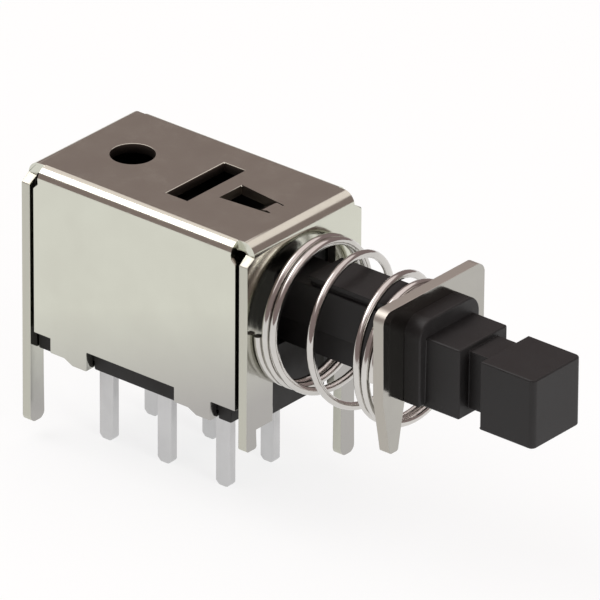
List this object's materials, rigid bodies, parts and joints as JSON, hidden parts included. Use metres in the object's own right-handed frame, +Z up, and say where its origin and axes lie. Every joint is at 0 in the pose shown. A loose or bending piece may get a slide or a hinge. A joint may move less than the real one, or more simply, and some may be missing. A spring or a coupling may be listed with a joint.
{
  "type": "pushbutton switch",
  "caption": "Latching pushbutton switch: folded metal shell over a black base, flat board pins, and a spring-loaded plunger out of one end.",
  "frame": {"origin": "centre of the terminal grid on the base's underside, where the circuit board lies", "axes": "+X out along the plunger, +Z up away from the board, +Y to the left seen along +X"},
  "size_m": [0.02, 0.0058, 0.0101],
  "materials": {
    "plated_sheet": "satin nickel-plated steel",
    "polished_plate": "polished nickel-plated steel",
    "spring_wire": "bright drawn spring wire",
    "contact_bronze": "bright phosphor bronze",
    "tinned_terminal": "dull tin plating",
    "black_moulding": "matte black moulding",
    "plunger_moulding": "satin black moulding"
  },
  "bodies": {
    "housing": {"shell": "plated_sheet", "base": "black_moulding", "return_spring": "spring_wire", "terminal_left_rear": "tinned_terminal", "terminal_left_middle": "tinned_terminal", "terminal_left_front": "tinned_terminal", "terminal_right_rear": "tinned_terminal", "terminal_right_middle": "tinned_terminal", "terminal_right_front": "tinned_terminal"},
    "plunger": {"plunger": "plunger_moulding", "retaining_plate": "polished_plate", "contact_clip_left": "contact_bronze", "contact_clip_right": "contact_bronze"},
    "latch_pin": {"latch_pin": "spring_wire"}
  },
  "joints": [
    {"name": "plunger_slide", "type": "slide", "parent": "housing", "child": "plunger", "axis": [-1, 0, 0], "range_m": [0, 0.0025], "stiffness_N_per_m": 600, "springref_m": -0.0008, "deforming": ["return_spring"]},
    {"name": "latch_pin_swing", "type": "hinge", "parent": "housing", "child": "latch_pin", "pos_m": [0.00409, 0, 0.006], "axis": [0, 0, -1], "range_deg": [0, 10.5]}
  ],
  "couplings": [
    {"joint": "latch_pin_swing", "follows": "plunger_slide", "rad_per_m": 58.78}
  ]
}
